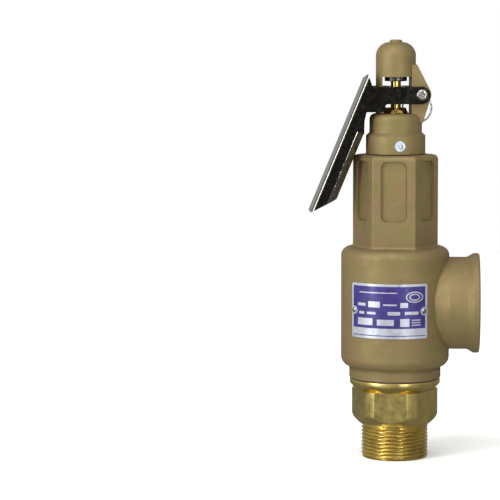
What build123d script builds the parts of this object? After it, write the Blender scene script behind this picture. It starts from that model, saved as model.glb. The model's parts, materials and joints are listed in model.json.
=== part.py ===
from build123d import *
from math import atan2, cos, degrees, hypot, radians, sin
import os

# Pressure relief valve, angle pattern, with a lifting lever.
# Millimetres. The origin is the centre of the inlet's end face, +Z runs up the spindle and +X
# points out of the outlet. The lever's handle hangs on the -X side.

os.makedirs("parts", exist_ok=True)

# ---- Driving dimensions -----------------------------------------------------------------------

# Clearances and small allowances
running_gap = 0.05  # radial, between a shaft and the hole it turns or slides in
loose_gap = 0.3  # radial, where a rod passes through without being guided
seat_gap = 0.05  # between two faces that rest on each other and then part
end_chamfer = 0.8  # on the ends of rods and screws
edge_round = 0.6  # on edges that are only eased

# Inlet: male pipe thread 1 1/4, its hexagon and the collar above it
inlet_thread_d = 41.91
inlet_thread_length = 22.0
thread_chamfer = 0.9
inlet_hex_flats = 50.0
inlet_hex_corner_d = 54.0
inlet_hex_height = 21.6
hex_lower_round = 6.5  # height over which the hexagon's lower corners are turned away
hex_lower_step = 5.0  # how much less than the flats the turned lower end measures
inlet_hex_turn = -6.4
inlet_taper_height = 3.4
inlet_collar_d = 56.8
inlet_collar_height = 3.3
inlet_bore_d = 32.0
inlet_bore_length = 46.0
throat_d = 26.0
throat_taper_height = 8.0
nozzle_thread_d = 46.0
nozzle_thread_length = 12.0
seat_rim_d = 31.0
seat_rim_step = 6.0  # how much less than the thread the rim's lower end measures
seat_rim_height = 11.5  # above the top of the nozzle's threaded part

# Gasket between the nozzle's collar and the body
gasket_thickness = 1.0
gasket_d = 55.6

# Body
body_d = 68.0
body_wall = 4.5
body_foot_d = 57.6
body_foot_height = 6.6
body_lower_round = 6.4
body_shoulder_z = 133.4
body_shoulder_round = 5.4
cavity_top_z = 118.0
cavity_floor_rise = 1.0  # how far the cavity's floor stands above the nozzle's thread
foot_groove_width = 1.2
foot_groove_depth = 0.7

# Outlet: female pipe thread 1 1/2, modelled at its minor diameter
outlet_z = 97.8
outlet_reach = 18.8  # how far the outlet's face stands out from the barrel
outlet_bore_d = 44.845
outlet_band_d = 62.7
outlet_band_width = 3.8
outlet_flare_length = 4.0  # the slope from the neck out to the band
outlet_rim_round = 1.4
outlet_neck_d = 58.0
outlet_root_x = 18.0  # where the neck is narrowest, inside the barrel
outlet_root_width = 42.0
outlet_mouth_chamfer = 1.6
outlet_thread_length = 19.0
outlet_throat_d = 38.0

# Bonnet: the hexagonal upper part of the casting
bonnet_corner_r = 26.8
bonnet_turn = -2.4
bonnet_top_z = 191.5
bonnet_base_round = 2.0
bonnet_top_round = 3.0
bonnet_edge_round = 1.0
panel_bottom_z = 150.5
panel_top_z = 188.0
panel_depth = 2.0
panel_corner_round = 4.0
rib_width = 5.2
spring_chamber_d = 35.0
spring_chamber_top_z = 183.0
spigot_d = 30.0
spigot_height = 11.5

# Valve trim
guide_d = 42.0
guide_flange_height = 6.0
guide_boss_d = 27.0
guide_boss_height = 8.0
guide_bore_d = 20.0
disc_d = 37.0
disc_height = 9.0
disc_insert_d = 31.0
disc_insert_height = 4.0
disc_edge_round = 2.0
disc_rim_width = 1.0
disc_skirt_rim = 1.2  # how far the holder's rim hangs below the insert's face
pin_d = 3.0
pin_above_disc = 6.0
spindle_d = 6.4
spindle_top_z = 246.5
spindle_socket_floor = 2.0  # metal left in the holder under the spindle

# Spring and its plates
plate_d = 32.0
plate_height = 4.0
plate_above_guide = 3.0
spring_d = 31.0
spring_wire_d = 4.0
spring_length = 45.0
spring_turns = 5.5

# Adjusting screw and lock nut
screw_d = 12.0
screw_pitch = 1.75
screw_bore_d = 7.0
screw_head_flats = 13.0
screw_head_height = 9.4
screw_head_top_z = 220.6
nut_flats = 18.0
nut_height = 6.0

# Yoke: collar, ring, two pillars, dome and the lug that carries the lever
yoke_turn = 6.0
yoke_collar_d = 37.2
yoke_collar_top_z = 203.3
yoke_step_height = 1.9
yoke_ring_d = 32.8
yoke_ring_top_z = 217.0
yoke_ring_round = 3.6
yoke_ring_bore_d = 24.0
yoke_deck_thickness = 4.6
yoke_window_width = 18.2
yoke_window_top_z = 240.0
yoke_pillar_d = 25.0
dome_top_z = 261.4
dome_round = 8.6
dome_nub_d = 8.0
dome_nub_height = 1.5
dome_wall = 4.0
dome_roof = 6.0
yoke_seat_gap = 0.3
lug_thickness = 18.0
lug_end_r = 6.2
lug_upper_z = 247.5
lug_lower_x = 16.0
lug_lower_z = 211.0
pivot_x = 15.1
pivot_z = 228.8

# Set screw through the yoke's collar
set_screw_d = 6.5
set_screw_length = 5.2
set_screw_z = 197.2
set_screw_turn = 9.0
set_screw_socket_d = 3.4
set_screw_recess = 0.5

# Lifting disc and its jam nut, on the spindle
lift_disc_d = 14.0
lift_disc_height = 3.0
lift_disc_bottom_z = 237.1
jam_nut_flats = 10.0
jam_nut_height = 3.6

# Lever
lever_width = 24.0
lever_sheet = 1.8
lever_corner_round = 1.9
arm_height = 10.8
arm_top_z = 233.9
tip_x = -18.4
tip_z = 241.9
tip_slope_x = -15.6  # where the slope down from the tip meets the arm's upper edge
web_lean = 0.415  # how far the web runs out for each millimetre down
rear_tip_drop = 3.0
deep_bottom_z = 218.2
deep_right_x = -7.6
throat_x = -19.3
grip_start_z = 205.4  # height of the grip's inner edge where it starts
grip_throat_x = -20.6  # how far the side plates are cut back above the grip
grip_throat_z = 212.6
head_lap = 1.0  # how far the side plates run on into the grip
grip_depth = 12.2
grip_lip_round = 5.2
grip_lip_gap = 12.0
grip_end_low_z = 156.0
grip_end_rise = 7.6  # how much higher the grip's end is on its inner edge
tab_half_length = 4.8
tab_inner_gap = 1.0  # between a lifting tab and the spindle
notch_round = 1.4

# Pivot pin and the ring through its rear end
lever_pin_d = 5.0
lever_pin_head_d = 7.0
lever_pin_head_height = 1.6
lever_pin_tail = 5.9
ring_hole_d = 2.2
ring_r = 9.2
ring_wire_d = 1.1
ring_split = 0.8

# Nameplate, bent round the body
nameplate_from_angle = -50.0
nameplate_to_angle = 35.0
nameplate_bottom_z = 79.2
nameplate_top_z = 113.2
nameplate_thickness = 0.8
rivet_head_d = 3.4
rivet_head_height = 0.9
rivet_shank_d = 2.0
rivet_shank_length = 2.4
rivet_from_edge = 2.3

# ---- Sizes worked out from the driving dimensions ----------------------------------------------

hex_top_z = inlet_thread_length + inlet_hex_height
collar_bottom_z = hex_top_z + inlet_taper_height
collar_top_z = collar_bottom_z + inlet_collar_height
body_bottom_z = collar_top_z + gasket_thickness
nozzle_thread_top_z = body_bottom_z + nozzle_thread_length
seat_z = nozzle_thread_top_z + seat_rim_height
cavity_r = body_d / 2 - body_wall
cavity_floor_z = nozzle_thread_top_z + cavity_floor_rise
foot_top_z = body_bottom_z + body_foot_height
outlet_face_x = body_d / 2 + outlet_reach
spigot_top_z = bonnet_top_z + spigot_height

disc_bottom_z = seat_z + seat_gap
disc_top_z = disc_bottom_z + disc_height
guide_top_z = cavity_top_z + guide_flange_height
lower_plate_z = guide_top_z + plate_above_guide
spring_bottom_z = lower_plate_z + plate_height
spring_top_z = spring_bottom_z + spring_length
upper_plate_z = spring_top_z + seat_gap
screw_foot_z = upper_plate_z + plate_height + seat_gap
disc_pin_z = disc_top_z + pin_above_disc

lever_inner_y = lever_width / 2 - lever_sheet
lever_hole_d = lever_pin_d + 2 * running_gap
arm_bottom_z = arm_top_z - arm_height
pin_tail_y = lever_width / 2 + lever_pin_tail
ring_y = pin_tail_y - 1.2 * ring_hole_d
web_angle = atan2(web_lean, 1.0)
grip_root_z = grip_start_z + grip_depth * sin(web_angle)


def web_x(z):
    """The x of the web's outer face at a height z."""
    return tip_x - web_lean * (tip_z - z)


# ---- Shared shapes -----------------------------------------------------------------------------

def rod(diameter, bottom, top):
    """A solid cylinder on the valve's axis between two heights."""
    return Pos(0, 0, bottom) * extrude(Circle(diameter / 2), top - bottom)


def cone(bottom_diameter, top_diameter, bottom, top):
    """A cone frustum on the valve's axis between two heights."""
    shape = Cone(bottom_diameter / 2, top_diameter / 2, top - bottom,
                 align=(Align.CENTER, Align.CENTER, Align.MIN))
    return Pos(0, 0, bottom) * shape


def hexagon(flats, bottom, top, turn=0.0):
    """A hexagonal prism with a flat facing -Y, turned about the axis."""
    profile = RegularPolygon(flats / 2, 6, major_radius=False, rotation=0)
    return Rot(0, 0, turn) * Pos(0, 0, bottom) * extrude(profile, top - bottom)


def side_plate(outline, y_from, y_to):
    """A flat outline in the XZ plane, filled between two values of y."""
    return Pos(0, y_to, 0) * extrude(Plane.XZ * outline, y_to - y_from)


def along_x(diameter, x_from, x_to, z):
    """A cylinder parallel to X at a height z."""
    return Pos(x_from, 0, z) * extrude(Plane.YZ * Circle(diameter / 2), x_to - x_from)


def along_y(diameter, y_from, y_to, x, z):
    """A cylinder parallel to Y through (x, z)."""
    return Pos(x, y_to, z) * extrude(Plane.XZ * Circle(diameter / 2), y_to - y_from)


def edges_at_z(solid, z):
    """The solid's edges that lie wholly at one height."""
    return solid.edges().filter_by_position(Axis.Z, z - 0.01, z + 0.01)


# ---- Inlet nozzle and gasket ---------------------------------------------------------------------

def make_inlet_nozzle():
    thread = rod(inlet_thread_d, 0, inlet_thread_length)
    thread = chamfer(edges_at_z(thread, 0), thread_chamfer)
    corner_trim = cone(inlet_hex_flats - hex_lower_step, inlet_hex_corner_d, inlet_thread_length,
                       inlet_thread_length + hex_lower_round)
    corner_trim += rod(inlet_hex_corner_d, inlet_thread_length + hex_lower_round, hex_top_z)
    hex_part = hexagon(inlet_hex_flats, inlet_thread_length, hex_top_z, inlet_hex_turn) & corner_trim
    taper = cone(inlet_hex_flats, inlet_collar_d, hex_top_z, collar_bottom_z)
    collar = rod(inlet_collar_d, collar_bottom_z, collar_top_z)
    upper = rod(nozzle_thread_d, collar_top_z, nozzle_thread_top_z)
    rim = cone(nozzle_thread_d - seat_rim_step, seat_rim_d, nozzle_thread_top_z, seat_z)
    throat_bottom_z = inlet_bore_length + throat_taper_height
    bore = rod(inlet_bore_d, 0, inlet_bore_length)
    bore += cone(inlet_bore_d, throat_d, inlet_bore_length, throat_bottom_z)
    bore += rod(throat_d, throat_bottom_z, seat_z)
    return thread + hex_part + taper + collar + upper + rim - bore


def make_nozzle_gasket():
    ring = rod(gasket_d, collar_top_z, body_bottom_z)
    return ring - rod(nozzle_thread_d, collar_top_z, body_bottom_z)


# ---- Body casting ----------------------------------------------------------------------------------

def bonnet_block():
    """The hexagonal bonnet with a recessed panel on each face."""
    flats = 2 * bonnet_corner_r * cos(radians(30))
    block = hexagon(flats, body_shoulder_z - body_shoulder_round, bonnet_top_z)
    block = fillet(block.edges().filter_by(Axis.Z), bonnet_edge_round)
    block = fillet(edges_at_z(block, bonnet_top_z), bonnet_top_round)
    panel_width = bonnet_corner_r - 2 * rib_width
    panel_height = panel_top_z - panel_bottom_z
    recess = Box(panel_width, 2 * panel_depth, panel_height)
    recess = fillet(recess.edges().filter_by(Axis.Y), panel_corner_round)
    for face in range(6):
        place = Rot(0, 0, 60 * face) * Pos(0, -flats / 2, panel_bottom_z + panel_height / 2)
        block -= place * recess
    return Rot(0, 0, bonnet_turn) * block


def body_barrel():
    """The turned foot and round barrel up to the bonnet."""
    barrel = rod(body_d, foot_top_z, body_shoulder_z)
    barrel = fillet(edges_at_z(barrel, body_shoulder_z), body_shoulder_round)
    barrel = fillet(edges_at_z(barrel, foot_top_z), body_lower_round)
    foot = rod(body_foot_d, body_bottom_z, foot_top_z + body_lower_round)
    groove = rod(body_foot_d, foot_top_z - foot_groove_width, foot_top_z)
    groove -= rod(body_foot_d - 2 * foot_groove_depth, foot_top_z - foot_groove_width, foot_top_z)
    return barrel + foot - groove


def outlet_boss():
    """The outlet's neck, its flare and its end band, solid, from the axis to the face."""
    band_x = outlet_face_x - outlet_band_width
    flare_x = band_x - outlet_flare_length
    neck_r = outlet_neck_d / 2
    band_r = outlet_band_d / 2
    outline = make_face(Polyline((body_d / 2, 0), (body_d / 2, neck_r), (flare_x, neck_r), (band_x, band_r),
                                 (outlet_face_x, band_r), (outlet_face_x, 0), close=True))
    round_part = revolve(Plane.XZ * outline, Axis.X)
    rims = round_part.edges().filter_by(GeomType.CIRCLE).filter_by(lambda edge: edge.center().X > flare_x - 1.0)
    round_part = fillet(rims, outlet_rim_round)
    # the root is narrower than it is high, so that it clears the nameplate
    narrow = Plane.YZ.offset(outlet_root_x) * Ellipse(outlet_root_width / 2, neck_r)
    full = Plane.YZ.offset(body_d / 2) * Circle(neck_r)
    return Pos(0, 0, outlet_z) * (loft([narrow, full]) + round_part)


def casting_outside():
    """The casting before it is bored: barrel, outlet and bonnet with rounded roots."""
    body = body_barrel() + bonnet_block()
    bonnet_root = edges_at_z(body, body_shoulder_z).filter_by(
        lambda edge: hypot(edge.center().X, edge.center().Y) < bonnet_corner_r)
    body = fillet(bonnet_root, bonnet_base_round)
    return body + outlet_boss()


def make_body_casting():
    body = casting_outside()
    body += rod(spigot_d, bonnet_top_z - bonnet_top_round, spigot_top_z)
    body -= rod(nozzle_thread_d, body_bottom_z, cavity_floor_z)
    body -= rod(2 * cavity_r, cavity_floor_z, cavity_top_z)
    body -= rod(guide_d, cavity_top_z, guide_top_z)
    body -= rod(spring_chamber_d, guide_top_z, spring_chamber_top_z)
    body -= rod(screw_d + 2 * running_gap, spring_chamber_top_z, spigot_top_z)
    thread_x = outlet_face_x - outlet_thread_length
    body -= along_x(outlet_bore_d, thread_x, outlet_face_x, outlet_z)
    body -= along_x(outlet_throat_d, 0, thread_x, outlet_z)
    mouth = Cone(outlet_bore_d / 2, outlet_bore_d / 2 + outlet_mouth_chamfer, outlet_mouth_chamfer)
    body -= Pos(outlet_face_x - outlet_mouth_chamfer / 2, 0, outlet_z) * Rot(0, 90, 0) * mouth
    return body


# ---- Valve trim ------------------------------------------------------------------------------------

def make_valve_guide():
    boss = rod(guide_boss_d, cavity_top_z - guide_boss_height, cavity_top_z)
    flange = rod(guide_d, cavity_top_z, guide_top_z)
    bore = rod(guide_bore_d + 2 * running_gap, cavity_top_z - guide_boss_height, guide_top_z)
    return boss + flange - bore


def disc_pin(diameter, length):
    """A cylinder across the disc holder and the spindle, parallel to Y."""
    return along_y(diameter, -length / 2, length / 2, 0, disc_pin_z)


def make_disc_holder():
    disc = rod(disc_d, disc_bottom_z - disc_skirt_rim, disc_top_z)
    disc = fillet(edges_at_z(disc, disc_top_z), disc_edge_round)
    disc -= cone(disc_d - 2 * disc_rim_width, disc_insert_d, disc_bottom_z - disc_skirt_rim, disc_bottom_z)
    disc -= rod(disc_insert_d, disc_bottom_z, disc_bottom_z + disc_insert_height)
    stem = rod(guide_bore_d, disc_top_z, lower_plate_z)
    holder = disc + stem
    holder -= rod(spindle_d, disc_bottom_z + disc_insert_height + spindle_socket_floor, lower_plate_z)
    return holder - disc_pin(pin_d, guide_bore_d)


def make_seat_insert():
    return rod(disc_insert_d, disc_bottom_z, disc_bottom_z + disc_insert_height)


def make_disc_retaining_pin():
    return disc_pin(pin_d, guide_bore_d - 2 * edge_round)


def make_spindle():
    bottom = disc_bottom_z + disc_insert_height + spindle_socket_floor
    spindle = rod(spindle_d, bottom, spindle_top_z)
    spindle = chamfer(edges_at_z(spindle, spindle_top_z), end_chamfer)
    return spindle - disc_pin(pin_d, guide_bore_d)


# ---- Spring and plates -----------------------------------------------------------------------------

def spring_plate(bottom, hole_diameter):
    """A round plate with eased edges and a hole for the spindle."""
    plate = rod(plate_d, bottom, bottom + plate_height)
    plate = fillet(plate.edges().filter_by(GeomType.CIRCLE), edge_round)
    return plate - rod(hole_diameter, bottom, bottom + plate_height)


def make_lower_spring_plate():
    return spring_plate(lower_plate_z, spindle_d)


def make_upper_spring_plate():
    return spring_plate(upper_plate_z, spindle_d + 2 * loose_gap)


def make_spring():
    """A round-wire coil whose ends are ground flat to the spring's length."""
    coil_r = (spring_d - spring_wire_d) / 2
    pitch = spring_length / spring_turns
    path = Helix(pitch, spring_length, coil_r, center=(0, 0, spring_bottom_z))
    section = Plane(origin=path @ 0, z_dir=path % 0) * Circle(spring_wire_d / 2)
    wire = sweep(section, path)
    return wire & rod(spring_d + 2.0, spring_bottom_z, spring_top_z)


# ---- Adjusting screw and lock nut ---------------------------------------------------------------------

def make_adjusting_screw():
    head_z = screw_head_top_z - screw_head_height
    shank = rod(screw_d, screw_foot_z, head_z)
    shank = chamfer(edges_at_z(shank, screw_foot_z), end_chamfer)
    head = hexagon(screw_head_flats, head_z, screw_head_top_z, yoke_turn)
    head &= cone(screw_head_flats * 1.6, screw_head_flats * 0.95, head_z, screw_head_top_z + 0.3)
    return shank + head - rod(screw_bore_d, screw_foot_z, screw_head_top_z)


def make_lock_nut():
    bottom = spigot_top_z + seat_gap
    nut = hexagon(nut_flats, bottom, bottom + nut_height, yoke_turn)
    nut &= cone(nut_flats * 1.25, nut_flats * 0.98, bottom, bottom + nut_height)
    return nut - rod(screw_d + 2 * running_gap, bottom, bottom + nut_height)


# ---- Yoke, in its own frame before it is turned ----------------------------------------------------

def lug_outline():
    """The lug's side view: the hull of the pivot's boss and three points on the yoke."""
    inner_x = yoke_window_width / 2
    boss = Pos(pivot_x, pivot_z) * Circle(lug_end_r)
    root = make_face(Polyline((inner_x, yoke_ring_top_z - 3.0), (lug_lower_x, lug_lower_z),
                              (yoke_pillar_d / 2, lug_upper_z), (inner_x, lug_upper_z), close=True))
    return make_hull(boss.edges() + root.edges())


def make_yoke_cap():
    collar = rod(yoke_collar_d, bonnet_top_z + yoke_seat_gap, yoke_collar_top_z)
    collar = fillet(edges_at_z(collar, bonnet_top_z + yoke_seat_gap), edge_round)
    step_top_z = yoke_collar_top_z + yoke_step_height
    step = cone(yoke_collar_d, yoke_ring_d, yoke_collar_top_z, step_top_z)
    ring = rod(yoke_ring_d, step_top_z, yoke_ring_top_z)
    ring = fillet(edges_at_z(ring, yoke_ring_top_z), yoke_ring_round)
    dome = rod(yoke_pillar_d, yoke_window_top_z, dome_top_z)
    dome = fillet(edges_at_z(dome, dome_top_z), dome_round)
    nub = rod(dome_nub_d, dome_top_z - 1.0, dome_top_z + dome_nub_height)
    nub = fillet(edges_at_z(nub, dome_top_z + dome_nub_height), dome_nub_height * 0.9)
    pillars = rod(yoke_pillar_d, yoke_ring_top_z - yoke_deck_thickness, yoke_window_top_z)
    lug = side_plate(lug_outline(), -lug_thickness / 2, lug_thickness / 2)
    window_height = yoke_window_top_z - yoke_ring_top_z
    window = Pos(0, 0, yoke_ring_top_z + window_height / 2) * Box(yoke_window_width, 60, window_height)
    yoke = collar + step + ring + pillars + dome + nub + lug - window
    yoke -= rod(spigot_d, bonnet_top_z, spigot_top_z)
    yoke -= rod(yoke_ring_bore_d, spigot_top_z, yoke_ring_top_z - yoke_deck_thickness)
    yoke -= rod(yoke_window_width, yoke_ring_top_z - yoke_deck_thickness, yoke_ring_top_z)
    yoke -= rod(yoke_pillar_d - 2 * dome_wall, yoke_window_top_z, dome_top_z - dome_roof)
    yoke -= along_y(lever_pin_d, -lug_thickness, lug_thickness, pivot_x, pivot_z)
    return Rot(0, 0, yoke_turn) * yoke - set_screw_body(set_screw_d, yoke_collar_d)


def set_screw_body(diameter, reach):
    """A radial cylinder at the set screw's place, from the spigot's surface outwards."""
    screw = extrude(Plane.XZ * Circle(diameter / 2), reach)
    return Rot(0, 0, set_screw_turn) * Pos(0, -spigot_d / 2, set_screw_z) * screw


def make_yoke_set_screw():
    outer = yoke_collar_d / 2 - set_screw_recess - spigot_d / 2
    screw = set_screw_body(set_screw_d, outer)
    socket = extrude(Plane.XZ * RegularPolygon(set_screw_socket_d / 2, 6, major_radius=False), outer)
    place = Rot(0, 0, set_screw_turn) * Pos(0, -spigot_d / 2 - outer / 2, set_screw_z)
    return screw - place * socket


# ---- Lifting disc and jam nut ------------------------------------------------------------------------

def make_lifting_disc():
    disc = rod(lift_disc_d, lift_disc_bottom_z, lift_disc_bottom_z + lift_disc_height)
    disc = fillet(disc.edges().filter_by(GeomType.CIRCLE), edge_round)
    return disc - rod(spindle_d, lift_disc_bottom_z, lift_disc_bottom_z + lift_disc_height)


def make_jam_nut():
    bottom = lift_disc_bottom_z + lift_disc_height
    nut = hexagon(jam_nut_flats, bottom, bottom + jam_nut_height, yoke_turn)
    nut &= cone(jam_nut_flats * 1.25, jam_nut_flats * 0.98, bottom, bottom + jam_nut_height)
    return nut - rod(spindle_d, bottom, bottom + jam_nut_height)


# ---- Lever, in the yoke's frame before it is turned -----------------------------------------------------

def lever_section(depth, lip_round):
    """The lever's section: web at x = 0, sides at +-y, as a closed tube of sheet metal."""
    outer = Pos(depth / 2, 0) * Rectangle(depth, lever_width)
    web_corners = outer.vertices().filter_by_position(Axis.X, -0.01, 0.01)
    outer = fillet(web_corners, lever_corner_round)
    lip_corners = outer.vertices().filter_by_position(Axis.X, depth - 0.01, depth + 0.01)
    outer = fillet(lip_corners, lip_round)
    inner = offset(outer, -lever_sheet)
    return outer - inner


def along_web(section, top_z, bottom_z):
    """Sweep a lever section down the web between two heights on the web's outer face."""
    down = Vector(-sin(web_angle), 0, -cos(web_angle))
    inward = Vector(cos(web_angle), 0, -sin(web_angle))
    plane = Plane(origin=(web_x(top_z), 0, top_z), x_dir=inward, z_dir=down)
    return extrude(plane * section, (top_z - bottom_z) / cos(web_angle))


def lever_head_outline():
    """The flat side plates: tip, arm to the pivot, step down to the deep part, start of the grip."""
    lap_z = grip_root_z - head_lap
    lap_x = web_x(lap_z)
    grip_inner_x = lap_x + grip_depth * cos(web_angle)
    grip_inner_z = lap_z - grip_depth * sin(web_angle)
    head = make_face(Polyline(
        (tip_x, tip_z), (tip_slope_x, arm_top_z), (pivot_x, arm_top_z), (pivot_x, arm_bottom_z),
        (deep_right_x, arm_bottom_z), (deep_right_x, deep_bottom_z), (throat_x, deep_bottom_z),
        (grip_throat_x, grip_throat_z), (grip_inner_x, grip_inner_z), (lap_x, lap_z), close=True))
    corners = head.vertices().filter_by_position(Axis.X, deep_right_x - 0.01, deep_right_x + 0.01)
    head = fillet(corners, notch_round)
    end = Pos(pivot_x, (arm_top_z + arm_bottom_z) / 2) * Circle(arm_height / 2)
    return head + end


def make_lever():
    head_section = lever_section(4 * lever_width, lever_corner_round)
    head = along_web(head_section, tip_z + 10, grip_root_z - 2 * grip_depth)
    head &= side_plate(lever_head_outline(), -lever_width / 2, lever_width / 2)
    # the web's upper edge falls from the front tip to the rear one
    wedge = make_face(Polyline((-lever_inner_y, tip_z + 5), (lever_width, tip_z + 5),
                               (lever_width, tip_z - rear_tip_drop),
                               (lever_width / 2, tip_z - rear_tip_drop),
                               (-lever_inner_y, tip_z), close=True))
    head -= Pos(tip_x - 6, 0, 0) * extrude(Plane.YZ * wedge, 12)
    # the grip is a tube with its free side slit, so that both edges curl inwards
    grip_section = lever_section(grip_depth, grip_lip_round)
    grip_section -= Pos(grip_depth, 0) * Rectangle(4 * lever_sheet, grip_lip_gap)
    grip = along_web(grip_section, grip_root_z, grip_end_low_z - 12)
    end_x = web_x(grip_end_low_z)
    inner_x = end_x + 2 * grip_end_rise
    below = make_face(Polyline((end_x - 40, grip_end_low_z - 20), (end_x, grip_end_low_z),
                               (inner_x, grip_end_low_z + grip_end_rise),
                               (inner_x + 30, grip_end_low_z + grip_end_rise + 15),
                               (inner_x + 30, grip_end_low_z - 50),
                               (end_x - 40, grip_end_low_z - 50), close=True))
    grip -= side_plate(below, -lever_width, lever_width)
    lever = head + grip
    # two tabs bent in from the arm's upper edge reach under the lifting disc
    tab_inner_y = spindle_d / 2 + tab_inner_gap
    tab_width = lever_inner_y - tab_inner_y + lever_sheet / 2
    for side in (-1, 1):
        tab_y = side * (tab_inner_y + tab_width / 2)
        tab = Box(2 * tab_half_length, tab_width, lever_sheet)
        lever += Pos(0, tab_y, arm_top_z - lever_sheet / 2) * tab
    lever -= along_y(lever_hole_d, -lever_width, lever_width, pivot_x, pivot_z)
    return Rot(0, 0, yoke_turn) * lever


# ---- Pivot pin and ring --------------------------------------------------------------------------------

def make_lever_pin():
    front_y = -(lever_width / 2 + loose_gap)
    shank = along_y(lever_pin_d, front_y, pin_tail_y, pivot_x, pivot_z)
    tail_edges = shank.edges().filter_by_position(Axis.Y, pin_tail_y - 0.01, pin_tail_y + 0.01)
    shank = chamfer(tail_edges, end_chamfer)
    head = along_y(lever_pin_head_d, front_y - lever_pin_head_height, front_y, pivot_x, pivot_z)
    face_edges = head.edges().filter_by_position(
        Axis.Y, front_y - lever_pin_head_height - 0.01, front_y - lever_pin_head_height + 0.01)
    head = fillet(face_edges, lever_pin_head_height * 0.8)
    hole = Pos(0, ring_y, 0) * along_x(ring_hole_d, 0, 2 * pivot_x, pivot_z)
    return Rot(0, 0, yoke_turn) * (shank + head - hole)


def make_split_ring():
    """A wire ring hanging from the pin's cross hole, split at its lowest point."""
    ring = Torus(ring_r, ring_wire_d / 2)
    ring -= Pos(0, -ring_r, 0) * Box(ring_split, 3 * ring_wire_d, 3 * ring_wire_d)
    place = Pos(pivot_x, ring_y, pivot_z - ring_r) * Rot(90, 0, 0)
    return Rot(0, 0, yoke_turn) * place * ring


# ---- Nameplate and rivets ------------------------------------------------------------------------------

def on_body(angle, z):
    """A location on the barrel's front, its local z pointing out, at an angle right of -Y."""
    return Rot(0, 0, angle) * Pos(0, -body_d / 2, z) * Rot(90, 0, 0)


def rivet_places():
    edge_angle = degrees(rivet_from_edge / (body_d / 2))
    middle_z = (nameplate_bottom_z + nameplate_top_z) / 2
    return [on_body(nameplate_from_angle + edge_angle, middle_z),
            on_body(nameplate_to_angle - edge_angle, middle_z)]


def make_nameplate():
    shell = rod(body_d + 2 * nameplate_thickness, nameplate_bottom_z, nameplate_top_z)
    shell -= rod(body_d, nameplate_bottom_z, nameplate_top_z)
    reach = body_d
    points = [(0, 0)]
    steps = 4
    for step in range(steps + 1):
        share = step / steps
        angle = radians(nameplate_from_angle + share * (nameplate_to_angle - nameplate_from_angle))
        points.append((reach * sin(angle), -reach * cos(angle)))
    sector = make_face(Polyline(*points, close=True))
    plate = shell & Pos(0, 0, nameplate_bottom_z) * extrude(sector, nameplate_top_z - nameplate_bottom_z)
    for place in rivet_places():
        plate -= place * Cylinder(rivet_shank_d / 2, 4 * nameplate_thickness)
    return plate


def make_nameplate_rivets():
    rivets = []
    for place in rivet_places():
        shank = Pos(0, 0, (nameplate_thickness - rivet_shank_length) / 2) * Cylinder(
            rivet_shank_d / 2, nameplate_thickness + rivet_shank_length)
        head = Pos(0, 0, nameplate_thickness) * extrude(Circle(rivet_head_d / 2), rivet_head_height)
        rim = head.edges().group_by(Axis.Z)[-1]
        head = fillet(rim, rivet_head_height * 0.8)
        rivets.append(place * (shank + head))
    return Compound(rivets)


# ---- Write the parts ---------------------------------------------------------------------------------

body_casting = make_body_casting()
nameplate_rivets = make_nameplate_rivets()
body_casting -= nameplate_rivets

nodes = {
    "inlet_nozzle": make_inlet_nozzle(),
    "nozzle_gasket": make_nozzle_gasket(),
    "body_casting": body_casting,
    "valve_guide": make_valve_guide(),
    "disc_holder": make_disc_holder(),
    "seat_insert": make_seat_insert(),
    "disc_retaining_pin": make_disc_retaining_pin(),
    "spindle": make_spindle(),
    "lower_spring_plate": make_lower_spring_plate(),
    "spring": make_spring(),
    "upper_spring_plate": make_upper_spring_plate(),
    "adjusting_screw": make_adjusting_screw(),
    "lock_nut": make_lock_nut(),
    "yoke_cap": make_yoke_cap(),
    "yoke_set_screw": make_yoke_set_screw(),
    "lifting_disc": make_lifting_disc(),
    "jam_nut": make_jam_nut(),
    "lever": make_lever(),
    "lever_pin": make_lever_pin(),
    "split_ring": make_split_ring(),
    "nameplate": make_nameplate(),
    "nameplate_rivets": nameplate_rivets,
}

for name, solid in nodes.items():
    export_step(solid, f"parts/{name}.step")
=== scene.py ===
import json
from math import cos, pi, radians, sin

import bmesh
import bpy
from bpy.props import FloatProperty, FloatVectorProperty, IntProperty, StringProperty
from mathutils import Euler, Matrix, Vector


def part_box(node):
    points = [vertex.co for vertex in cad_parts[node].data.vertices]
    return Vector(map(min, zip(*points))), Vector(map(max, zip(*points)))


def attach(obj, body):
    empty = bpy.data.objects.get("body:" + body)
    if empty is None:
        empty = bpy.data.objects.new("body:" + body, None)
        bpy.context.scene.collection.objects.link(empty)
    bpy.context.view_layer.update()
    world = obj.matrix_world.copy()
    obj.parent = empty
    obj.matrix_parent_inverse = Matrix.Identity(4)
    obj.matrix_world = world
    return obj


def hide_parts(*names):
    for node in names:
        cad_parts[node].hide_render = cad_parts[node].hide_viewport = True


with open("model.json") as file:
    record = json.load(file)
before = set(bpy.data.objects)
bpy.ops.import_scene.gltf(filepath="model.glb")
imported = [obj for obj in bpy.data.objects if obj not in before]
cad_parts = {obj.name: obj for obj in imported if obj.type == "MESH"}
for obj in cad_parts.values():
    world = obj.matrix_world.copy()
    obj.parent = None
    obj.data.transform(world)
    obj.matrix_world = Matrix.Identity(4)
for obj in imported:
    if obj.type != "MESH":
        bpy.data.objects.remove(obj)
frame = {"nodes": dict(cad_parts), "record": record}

bl_info = {
    "name": "Pressure Relief Valve",
    "version": (1, 0, 0),
    "blender": (4, 5, 0),
    "location": "View3D > Sidebar > Valve",
    "description": "Builds the pieces and finishes of an angle-pattern pressure relief valve",
    "category": "Add Mesh",
}

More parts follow.
